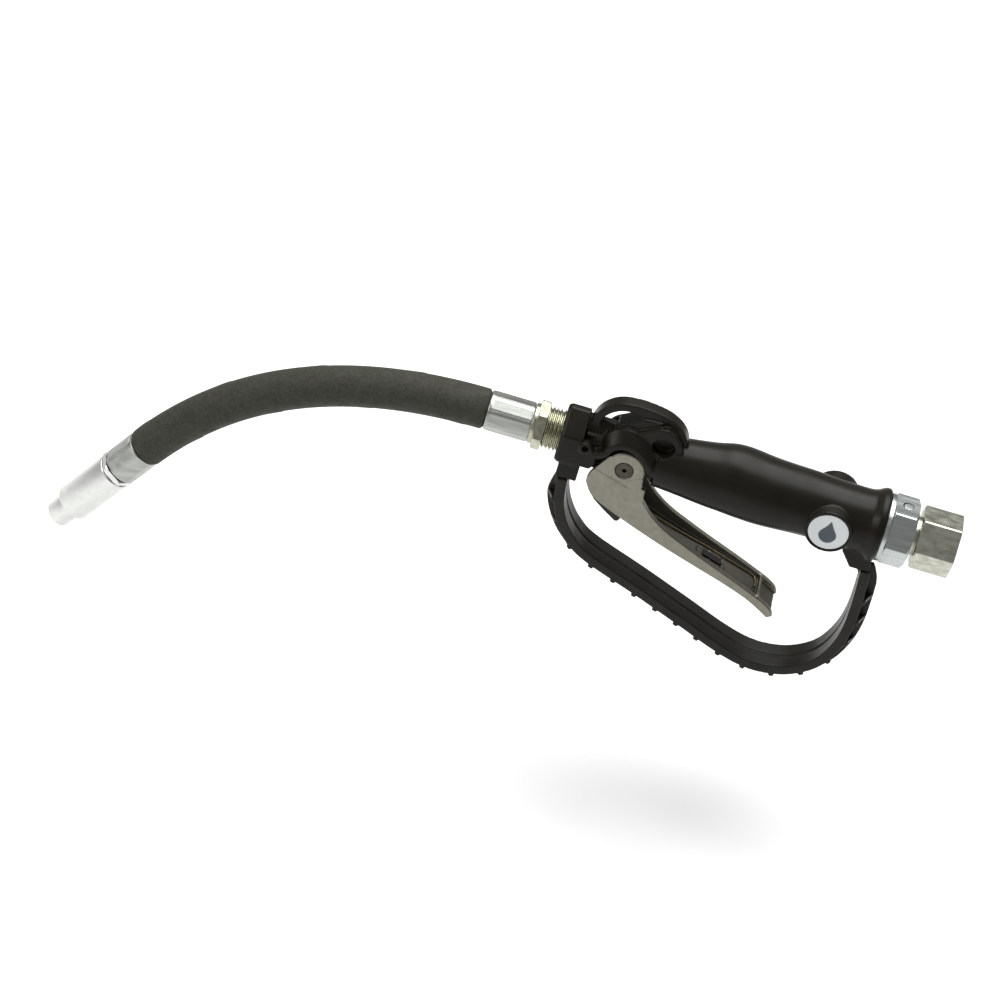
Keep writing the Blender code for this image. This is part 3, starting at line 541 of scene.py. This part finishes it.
def hexagon_radius(flats, length, chamfers, turn):
    """Outer radius of a hexagon nut whose corners are chamfered at each end."""
    first, last = chamfers
    corner = flats / math.sqrt(3)

    def radius(s, angle):
        across = ((angle - math.radians(turn)) * 6 / math.tau) % 1.0 - 0.5
        flat = flats / 2 / math.cos(across * math.tau / 6)
        edge = corner - CORNER_EASE
        cone = min(corner - first + s * 1.7, corner - last + (length - s) * 1.7)
        return min(flat, edge, cone)
    return radius


# ---------------------------------------------------------------- fittings

def outlet_adaptor():
    """Hexagon adaptor with a cut helical thread, yellow-passivated."""
    crest, root, pitch = 10.35, 9.25, 1.814
    start, end = -184.4, -201.6

    def thread(s, angle):
        phase = (s / pitch + angle / math.tau) % 1.0
        rise = 1.0 - abs(2.0 * phase - 1.0)
        profile = min(1.0, max(0.0, (rise - 0.14) / 0.72))
        lead = min(1.0, s / 1.8)
        return root - 0.2 + (crest - root + 0.2) * profile * lead

    paint = Paint("adaptor_zinc", (0.7, 0.68, 0.55), 0.3, 1.0)
    paint.brushed_metal((0.33, 0.33, 0.24), (0.54, 0.54, 0.43), 0.2, 0.34)
    screw = skin("adaptor_thread", straight((start, 0, 0), -X_AXIS, start - end, pitch / 12), 128,
                 thread, lambda s: 5.0)
    hexagon = skin("adaptor_hexagon", straight((-201.4, 0, 0), -X_AXIS, 4.6, 0.15), 240,
                   hexagon_radius(21.0, 4.6, (1.0, 0.9), 4.4), lambda s: 5.0)
    collar = turned("adaptor_collar", [(5.0, -205.8), (9.9, -205.8), (9.9, -207.8), (9.2, -208.0),
                                       (5.0, -208.0)], (0, 0, 0), rounding=0.3)
    for part in (hexagon, collar):
        show(part, "gun", "yellow_zinc_plate", paint)
    show(screw, "gun", "yellow_zinc_plate", paint, "outlet_adaptor")


def inlet_nut():
    """The swivelling hexagon: pale yellow zinc, with bruised, greyer flats."""
    paint = Paint("nut_zinc", (0.72, 0.71, 0.6), 0.32, 1.0)
    paint.brushed_metal((0.34, 0.35, 0.28), (0.62, 0.62, 0.54), 0.22, 0.38, (0.5, 1, 1))
    nut = skin("swivel_nut", straight((0, 0, 0), -X_AXIS, NUT_LENGTH, 0.2), 288,
               hexagon_radius(NUT_FLATS, NUT_LENGTH, (0.7, 1.5), -4.6), lambda s: 9.3 if s < 14 else 6.0)
    neck = turned("swivel_neck", [(6.0, -18.5), (9.4, -18.5), (9.4, -25.9), (8.2, -25.9), (8.2, -28.1),
                                  (9.4, -28.1), (9.4, -30.9), (6.0, -30.9)], (0, 0, 0), rounding=0.2)
    show(neck, "swivel", "yellow_zinc_plate", paint)
    show(nut, "swivel", "yellow_zinc_plate", paint, "swivel_fitting")


def collar():
    """The fixed hexagon screwed into the handle, with its plugged race hole on top."""
    paint = Paint("collar_zinc", (0.68, 0.71, 0.72), 0.3, 1.0)
    paint.brushed_metal((0.4, 0.43, 0.42), (0.56, 0.59, 0.57), 0.2, 0.34, DRAWN)
    length = COLLAR_TO - COLLAR_FROM
    hexagon = skin("collar_hexagon", straight((COLLAR_TO, 0, 0), -X_AXIS, length, 0.18), 288,
                   hexagon_radius(COLLAR_FLATS, length, (2.2, 0.9), 0.0), lambda s: 9.7)
    hexagon = merged(hexagon, 'DIFFERENCE', [rod("plug_hole", 2.75, (-27.2, 0, 13.2), (-27.2, 0, 18))])
    spigot = turned("collar_spigot", [(9.7, -32.9), (13.0, -32.9), (13.0, -48.0), (6.5, -48.0),
                                      (6.5, -34.0), (9.7, -34.0)], (0, 0, 0), rounding=0.2)
    plug = turned("race_plug_head", [(0, 11.3), (2.45, 11.3), (2.45, 14.7), (2.2, 14.95), (0, 14.95)],
                  (-27.0, 0, 0), (0, 0, 1), rounding=0.12)
    washer = turned("washer_ring", [(13.3, -35.5), (16.6, -35.5), (16.6, -33.4), (13.3, -33.4)],
                    (0, 0, 0), steps=128, rounding=0.25)
    show(spigot, "gun", "zinc_plate", paint)
    show(hexagon, "gun", "zinc_plate", paint, "swivel_collar")
    show(plug, "gun", "steel", paint, "race_plug")
    show(washer, "gun", "zinc_plate", paint, "inlet_washer")


def nozzle():
    """Bead-rolled metal nozzle: coupling ring, body and the narrower tip."""
    paint = Paint("nozzle_zinc", (0.76, 0.77, 0.76), 0.34, 1.0)
    paint.brushed_metal((0.66, 0.67, 0.65), (0.74, 0.75, 0.72), 0.3, 0.4)

    def part(name, node, profile, rounding):
        piece = turned(name, profile, NOZZLE_START, NOZZLE_DIR, steps=128, rounding=rounding)
        show(piece, "nozzle", "zinc_plate", paint, *node)

    ring_path = straight(NOZZLE_START + NOZZLE_DIR * 18.7, NOZZLE_DIR, 2.6, 0.13)
    ring = skin("coupling_hexagon", ring_path, 192, hexagon_radius(17.6, 2.6, (0.9, 0.9), 20.0),
                lambda s: 4.6)
    show(ring, "nozzle", "zinc_plate", paint)
    part("coupling_tail", ["nozzle_coupling"], [(4.6, 1.0), (6.3, 1.0), (6.3, 18.2), (7.4, 18.6), (7.4, 30.0),
                                                (4.6, 30.0)], 0.2)
    part("nozzle_barrel", ["nozzle_body"], [(7.7, 21.8), (9.4, 21.8), (9.4, 53.3), (6.7, 53.3), (6.7, 31.0),
                                            (7.7, 30.6)], 0.7)
    part("nozzle_end", ["nozzle_tip"], [(4.2, 44.0), (6.4, 44.0), (6.4, 53.4), (6.8, 53.6), (6.8, 65.0),
                                        (4.2, 65.0), (4.2, 60.0)], 1.3)


# ---------------------------------------------------------------- handle casting

def grip():
    stations = [(-35.8, 17.4, 0), (-36.6, 18.0, 0), (-38.6, 18.0, 0), (-40.7, 17.0, 0),
                (-43.0, 15.9, 0), (-47.0, 15.4, 0.1), (-60.0, 15.5, 0.2), (-72.0, 15.8, 0.6),
                (-84.0, 16.3, 0.4), (-94.0, 16.8, 0.5), (-104.0, 17.1, 1.3), (-112.0, 16.7, 1.5),
                (-121.0, 15.4, 0.6), (-134.0, 13.8, 0.2), (-146.0, 12.7, 0.0)]
    radii = smooth_line([(x, r) for x, r, _ in stations], 4)
    lifts = smooth_line([(x, z) for x, _, z in stations], 4)
    rings = [[(x, r * math.cos(a), z + r * math.sin(a)) for a in [math.tau * i / 96 for i in range(96)]]
             for (x, r), (_, z) in zip(radii, lifts)]
    return loft("casting", rings)


def outlet_block():
    """Flat cheeks, chamfered below and roofed above, with a heel that reaches back below."""
    outline = [(-12.5, 6.4), (-1.8, 16.2), (1.8, 16.2), (12.5, 6.4),
               (12.5, -8.3), (8.0, -12.0), (-8.0, -12.0), (-12.5, -8.3)]
    rings = [[(x, y * s, z * s) for y, z in outline]
             for x, s in ((-193.5, 0.93), (-191.9, 1.0), (-182.5, 1.0))]
    heel = [(-184, 4.0), (-178.5, 4.0), (-175.8, 1.0), (-174.6, -3.5), (-174.9, -6.3), (-176.4, -8.3),
            (-184, -8.3)]
    return [loft("block", rings), plate("heel", heel, -12.1, 12.1)]


def gallery_ridge():
    """The ridge under the hanging eye: narrow in front, widening towards the handle."""
    stations = ((-184, 2.0, 13.9, 7.4, 4.5), (-170, 2.0, 13.9, 7.6, 5.0), (-166, 4.6, 14.2, 7.8, 6.0),
                (-140.6, 5.6, 14.6, 9.0, 8.2))
    return loft("ridge", [[(x, -foot, -4.4), (x, -foot, low), (x, -crest, high), (x, crest, high),
                           (x, foot, low), (x, foot, -4.4)] for x, crest, high, foot, low in stations])


def hanging_eye():
    """The eye over the ridge: a thin strap in front, and a sloping floor that meets it behind."""
    outer = smooth_line([(-182.6, 6.4), (-180.6, 16.5), (-176.5, 23), (-170, 27), (-161.5, 28.2),
                         (-153.5, 27.7), (-146.4, 26.2), (-140.8, 23.2), (-137.2, 19.6), (-134.8, 14.5),
                         (-133.3, 6.4)])
    inner = smooth_line([(-158.4, 22.6), (-164.5, 23.8), (-170, 22.6), (-174.5, 19.2), (-176.8, 15.2),
                         (-178, 9)])
    floor = [(-169, 9), (-169, 15.8), (-157.6, 22.9), (-149, 23.5), (-149, 9)]
    shoulder = [(-161.3, 5.8), (-161.3, 14.6), (-155.4, 18.4), (-149.6, 21.6), (-145.5, 22.2),
                (-141.2, 20.2), (-137.6, 16.0), (-134.9, 9.5), (-134.5, 5.8)]
    return [plate("strap", outer + [(-150, 9), (-150, 21)] + inner, -3.6, 3.6),
            plate("floor", floor, -5.0, 5.0), plate("shoulder", shoulder, -7.4, 7.4)]


def cheek_rib(side):
    """The curved rib over the trigger's head: its crest stands out, and slopes back behind."""
    crest = smooth_line([(-145.2, -0.5), (-148.0, 0.9), (-151.2, 4.0), (-155.2, 7.9), (-160.7, 10.2),
                         (-165.4, 9.6), (-169.6, 6.9), (-171.9, 2.5), (-175.8, 0.5)])
    slopes = smooth_line(list(enumerate((3.5, 5.0, 5.5, 5.5, 5.5, 5.5, 4.2, 1.2, 1.0))))
    rings = []
    for near, top, (_, slope) in zip(offset_line(crest, 2.4), offset_line(crest, -0.5), slopes):
        far = Vector(top) + (Vector(top) - Vector(near)).normalized() * slope
        rings.append([(near[0], side * 4.3, near[1]), (near[0], side * 12.0, near[1]),
                      (top[0], side * 12.0, top[1]), (far.x, side * 6.8, far.y),
                      (far.x, side * 4.3, far.y)])
    return loft("rib", rings)


def casting():
    """The painted handle casting, with every edge softened."""
    pivot = (PIVOT_X, PIVOT_Z)
    saddle = [(-184, 7.7), (-141, 7.7), (-141, -8.0), (-147, -9.0), (-150.5, -4.0), (-176, -4.0),
              (-184, -9.0)]
    web = [(-183, 7.1), (-183, -9.5), (-172, -11.0)] + arc(pivot, 6.5, -90, 20, 12) + [(-152, 7.1)]
    rear_lug = [(-50.5, -10), (-50.5, -14.5), (-44.8, -22.3), (-35.6, -22.3), (-35.6, -10)]
    pieces = [*outlet_block(), plate("saddle", saddle, -7.0, 7.0), gallery_ridge(),
              plate("web", web, -6.6, 6.6), *hanging_eye(), cheek_rib(-1), cheek_rib(1),
              block("front_lug", (-190.6, -8.4, -19.8), (-180.4, 8.4, -9)),
              plate("rear_lug", rear_lug, -8.4, 8.4),
              rod("badge_boss", 11.2, (-60.5, -17.8, 0), (-60.5, 17.8, 0)),
              rod("screw_boss", 2.9, (-180.6, -13.2, 3.1), (-180.6, -9, 3.1))]
    body = merged(grip(), 'UNION', pieces)
    cuts = [rod("main_bore", 13.3, (0, 0, 0), (-48.5, 0, 0)),
            rod("outlet_thread", 10.7, (-182, 0, 0), (-200, 0, 0)),
            rod("pivot_hole", 4.4, (PIVOT_X, -20, PIVOT_Z), (PIVOT_X, 20, PIVOT_Z)),
            rod("screw_hole", 1.6, (-180.6, -20, 3.1), (-180.6, -10.4, 3.1)),
            plate("front_slot", [(-195, -30), (-182.3, -30), (-182.3, -12.4), (-195, -12.4)], -3.3, 3.3),
            plate("rear_slot", [(-44.2, -30), (-30, -30), (-30, -16.0), (-44.2, -16.0)], -3.3, 3.3)]
    pocket = [(-145.4 + 5.4 * math.cos(a), 12.2 + 4.3 * math.sin(a))
              for a in [math.tau * i / 40 for i in range(40)]]
    cheek = (arc(pivot, 11.4, -5, 290, 48)
             + [(-153, -20), (-143.2, -20), (-143.2, -11), (-146.4, -5)])
    for side in (-1, 1):
        cuts += [rod("badge_seat", 9.9, (-60.5, side * 16.5, 0), (-60.5, side * 25, 0)),
                 plate("side_pocket", pocket, *sorted((side * 3.2, side * 16))),
                 plate("cheek_pocket", cheek, *sorted((side * 6.6, side * 18)))]
    body = cast(merged(body, 'DIFFERENCE', cuts), 0.42, 3)
    paint = Paint("casting_paint", (0.009, 0.0083, 0.006), 0.4, specular=0.16)
    paint.moulded((0.0068, 0.0064, 0.0038), (0.0095, 0.009, 0.0058), 0.28, 0.4, 0.012)
    show(body, "gun", "black_coated_casting", paint, "handle_casting", sharp=0)


# ---------------------------------------------------------------- guard

GUARD_INNER = [(-184.2, -20.2), (-182.7, -33.0), (-178.9, -43.0), (-172.4, -51.9),
               (-162.6, -59.0), (-135.9, -69.5), (-109.6, -80.4), (-91.0, -88.3),
               (-77.0, -92.4), (-65.4, -92.4), (-54.9, -89.0), (-45.5, -81.4), (-39.9, -70.0),
               (-37.5, -57.0), (-37.7, -40.0), (-39.0, -22.7)]
GUARD_HALF, RIM, FLOOR, KEEL = 9.0, 4.9, 2.2, 9.4
RIB_START, RIB_PITCH = 12.3, 12.75


def guard_rib(place, direction):
    side, nub, top = GUARD_HALF - 0.05, RIM + 1.4, KEEL - 0.4
    section = [(-side, 1.3), (-side, nub), (-side + 1.8, nub), (-1.0, top), (1.0, top),
               (side - 1.8, nub), (side, nub), (side, 1.3)]
    out = Vector((direction.y, -direction.x))
    return loft("guard_rib", [[(place.x + direction.x * shift + out.x * h, y,
                                place.y + direction.y * shift + out.y * h) for y, h in section]
                              for shift in (-1.2, 1.2)])


def rib_stations(line):
    """Points and directions every RIB_PITCH along the guard."""
    stations, travelled = [], 0.0
    for a, b in zip(line, line[1:]):
        step = Vector(b) - Vector(a)
        target = RIB_START + RIB_PITCH * len(stations)
        if travelled + step.length >= target:
            stations.append((Vector(a) + step.normalized() * (target - travelled), step.normalized()))
        travelled += step.length
    return stations[:-1]


def guard():
    """The moulded guard: two rims and a keel on the outside, tied by ribs that end in nubs."""
    line = smooth_line(GUARD_INNER)
    rings = []
    for i, place in enumerate(line):
        before, after = line[max(i - 1, 0)], line[min(i + 1, len(line) - 1)]
        step = Vector((after[0] - before[0], after[1] - before[1])).normalized()
        keel = RIM + (KEEL - RIM) * min((i + 0.5) / 6, (len(line) - i) / 4.5, 1.0)
        right = [(0.5, 0.6), (1.0, 0.0), (GUARD_HALF, 0.0), (GUARD_HALF, RIM), (GUARD_HALF - 1.6, RIM),
                 (GUARD_HALF - 1.6, FLOOR), (1.1, FLOOR), (1.1, keel)]
        rings.append([(place[0] + step.y * h, y, place[1] - step.x * h)
                      for y, h in right + [(-y, h) for y, h in reversed(right)]])
    ribs = [guard_rib(*station) for station in rib_stations(line)]
    tabs = [plate("front_tab", [(-189.8, -29), (-184.6, -29), (-182.8, -21), (-182.8, -12.8),
                                (-189.8, -12.8)], -3.0, 3.0),
            plate("rear_tab", [(-38.5, -29), (-34.6, -29), (-35.7, -16.9), (-42.6, -16.9),
                               (-42.6, -22.4)], -3.0, 3.0)]
    band = cast(merged(loft("guard_moulding", rings), 'UNION', tabs + ribs), 0.4, 2)
    paint = Paint("guard_plastic", (0.01, 0.0095, 0.007), 0.42, specular=0.22)
    paint.moulded((0.0075, 0.0072, 0.0046), (0.0125, 0.012, 0.0085), 0.36, 0.48)
    show(band, "gun", "black_plastic", paint, "guard_band", sharp=0)


# ---------------------------------------------------------------- trigger

TRIGGER_FLOOR = [(-173.5, -20.6), (-168.9, -25.0), (-154.1, -31.8), (-133.0, -40.0),
                 (-111.3, -47.3), (-98.2, -51.6), (-84.7, -57.0), (-73.8, -63.6)]
HALF_WIDTH, CHEEK = 10.7, 2.8
LATCH_FRAME = (Matrix.Translation(Vector((-107.2, 0.0, -47.0)) * MM)
               @ Matrix.Rotation(math.radians(18.4), 4, 'Y'))


def along_latch(name, low, high):
    """A block laid along the lever's floor, measured from the middle of its latch."""
    piece = block(name, low, high)
    piece.data.transform(LATCH_FRAME)
    return piece


def lever_outline():
    head = arc((PIVOT_X, PIVOT_Z), 9.7, -12, 140, 24)
    front = [(-168.4, 1.4), (-173.2, -7.0), (-175.7, -12.8), (-175.9, -16.2)]
    rear = [(-71.5, -61.8), (-73.2, -58.9), (-78.6, -55.3), (-84.9, -52.4), (-95.8, -47.6),
            (-109.0, -42.2), (-122.7, -36.2), (-133.0, -31.2), (-141.5, -25.0), (-147.4, -18.2)]
    neck = [(-147.8, -12.2), (-149.8, -11.6), (-150.1, -7.4)]
    return head + smooth_line(front, 4) + smooth_line(TRIGGER_FLOOR, 4) + smooth_line(rear, 4) + neck


def hub(side):
    """The slightly raised boss round the pivot, on the outside of a cheek."""
    outline = arc((PIVOT_X, PIVOT_Z), 9.3, -10, 140, 24) + smooth_line(
        [(-167.1, -1.1), (-165.1, -8.8), (-162.9, -10.3), (-160.0, -10.1), (-157.0, -9.2),
         (-153.4, -6.6)], 3)
    return plate("hub", outline, *sorted((side * (HALF_WIDTH - 0.5), side * (HALF_WIDTH + 0.5))))


def lever():
    """The die-cast lever: two cheeks, a floor, and the bar that pushes the valve stem."""
    outline = lever_outline()
    under = [(x + 0.4, z + 0.3) for x, z in smooth_line(TRIGGER_FLOOR, 4)]
    floor = under + offset_line(under, 2.0)[::-1]
    body = merged(plate("lever", outline, -HALF_WIDTH, -HALF_WIDTH + CHEEK), 'UNION', [
        plate("far_cheek", outline, HALF_WIDTH - CHEEK, HALF_WIDTH), hub(-1), hub(1),
        plate("floor", floor, -HALF_WIDTH + 0.5, HALF_WIDTH - 0.5),
        rod("cam_bar", 2.0, (-153.5, -9, -10.5), (-153.5, 9, -10.5)),
        along_latch("latch_ledge", (-2.3, 2.6, -0.5), (4.2, 4.4, 1.1)),
        block("latch_stop", (-102.1, -9.7, -50.0), (-100.7, -0.6, -46.6)),
        block("rear_web", (-81.7, -9.7, -57.4), (-80.3, 9.7, -53.6))])
    score = HALF_WIDTH + 0.1
    body = cast(merged(body, 'DIFFERENCE', [
        along_latch("latch_recess", (-8.8, -2.6, 0.2), (5.3, 2.6, 3.0)),
        along_latch("latch_slot", (-2.8, -1.5, -6.0), (5.3, 1.5, 6.0)),
        rod("pivot_hole", 4.4, (PIVOT_X, -20, PIVOT_Z), (PIVOT_X, 20, PIVOT_Z)),
        rod("score_line", 0.4, (-174.0, -score, -7.4), (-154.3, -score, -13.3), 12),
        rod("tip_notch", 8.0, (-64.6, 0, -68), (-64.6, 0, -52))]), 0.33, 2)
    paint = Paint("die_cast", (0.3, 0.29, 0.26), 0.42, 0.85)
    shade = paint.brushed_metal((0.2, 0.192, 0.155), (0.25, 0.24, 0.198), 0.36, 0.46)
    # Painted shade: the channel between the lever's cheeks is darkened as if in shadow
    paint.paint_inner_shade(shade, HALF_WIDTH - CHEEK - 0.1, 0.45)
    show(body, "trigger", "die_cast_grey", paint, "trigger_lever", sharp=0)


def badge_marks():
    """A plain drop printed on each badge."""
    paint = Paint("badge_ink", (0.05, 0.07, 0.09), 0.4)
    paint.moulded((0.045, 0.062, 0.08), (0.06, 0.08, 0.1), 0.35, 0.45, 0.005)
    drop = smooth_line([(-60.5, 6.3), (-62.3, 2.8), (-64.3, -0.2), (-64.6, -2.8), (-63.0, -5.2),
                        (-60.5, -6.1), (-58.0, -5.2), (-56.4, -2.8), (-56.7, -0.2), (-58.7, 2.8),
                        (-60.5, 6.3)], 5)[:-1]
    for name, side in (("drop_near", -1), ("drop_far", 1)):
        mark = plate(name, drop, *sorted((side * 17.3, side * 17.6)))
        show(mark, "gun", "badge_label", paint)


def spring(name, start, along, length, turns, radius, wire, paint):
    """A still coil wound along an axis, in place of the CAD spring of that name. In the real gun a moving
    part holds its start and a still one its end, so the spring shortens.
    """
    curve = bpy.data.curves.new(name, 'CURVE')
    curve.dimensions, curve.bevel_depth, curve.bevel_resolution = '3D', wire * MM, 3
    curve.use_fill_caps = True
    per_turn, across = 24, Y_AXIS.cross(along).normalized()
    spline = curve.splines.new('POLY')
    spline.points.add(turns * per_turn)
    for i, point in enumerate(spline.points):
        angle = math.tau * i / per_turn
        place = (start + along * (length * i / (turns * per_turn))
                 + (Y_AXIS * math.cos(angle) + across * math.sin(angle)) * radius)
        point.co = (*(place * MM), 1.0)
    coil = bpy.data.objects.new(name + "_coil", curve)
    bpy.context.scene.collection.objects.link(coil)
    coil = show(applied(coil), None, "steel", paint, name)
    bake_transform(coil)


def springs():
    paint = Paint("spring_steel", (0.4, 0.4, 0.39), 0.35, 1.0)
    paint.brushed_metal((0.34, 0.34, 0.33), (0.46, 0.46, 0.45), 0.28, 0.4)
    spring("valve_spring", Vector((-125.9, 0.0, STEM_Z)), X_AXIS, 15.4, 6, 3.2, 0.5,
           paint)
    spring("drip_spring", NOZZLE_START + NOZZLE_DIR * 33.4, NOZZLE_DIR, 9.8, 4,
           4.6, 0.45, paint)


def repaint_small_parts():
    """Finishes for the CAD parts whose own shape is already the real one."""
    steel = Paint("pin_steel", (0.33, 0.32, 0.3), 0.42, 1.0)
    steel.brushed_metal((0.26, 0.25, 0.23), (0.36, 0.35, 0.33), 0.36, 0.5)
    dark_steel = Paint("pivot_steel", (0.13, 0.12, 0.1), 0.45, 0.9)
    dark_steel.brushed_metal((0.055, 0.05, 0.04), (0.085, 0.078, 0.063), 0.38, 0.5)
    wire = Paint("wire_steel", (0.3, 0.25, 0.17), 0.35, 1.0)
    wire.brushed_metal((0.13, 0.1, 0.055), (0.2, 0.16, 0.095), 0.36, 0.48)
    plastic = Paint("pad_plastic", (0.012, 0.012, 0.012), 0.5, specular=0.3)
    plastic.moulded((0.01, 0.01, 0.0095), (0.016, 0.016, 0.015), 0.42, 0.55)
    brass = Paint("valve_brass", (0.6, 0.45, 0.2), 0.35, 1.0)
    brass.brushed_metal((0.5, 0.36, 0.15), (0.66, 0.5, 0.25), 0.28, 0.42)
    seal = Paint("seal_rubber", (0.02, 0.02, 0.02), 0.7)
    seal.moulded((0.015, 0.015, 0.015), (0.025, 0.025, 0.025), 0.6, 0.8)
    label = Paint("badge_film", (0.74, 0.77, 0.78), 0.35)
    label.moulded((0.7, 0.73, 0.74), (0.76, 0.79, 0.8), 0.3, 0.42, 0.005)
    finishes = {
        steel: ("guard_front_pin", "guard_rear_pin", "valve_stem", "race_wire"),
        dark_steel: ("pivot_pin",),
        wire: ("latch_wire",),
        plastic: ("trigger_pad", "latch_slider"),
        brass: ("valve_seat", "stem_gland", "spring_retainer", "inlet_strainer", "drip_poppet"),
        seal: ("poppet_seal", "stem_oring", "swivel_oring"),
        label: ("badge_near", "badge_far")}
    for paint, names in finishes.items():
        for name in names:
            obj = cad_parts[name]
            obj.data.materials.clear()
            obj.data.materials.append(paint.material)


place_camera()
light_studio()
lay_floor()
hose()
ferrules()
outlet_adaptor()
inlet_nut()
collar()
nozzle()
casting()
guard()
lever()
badge_marks()
springs()
repaint_small_parts()
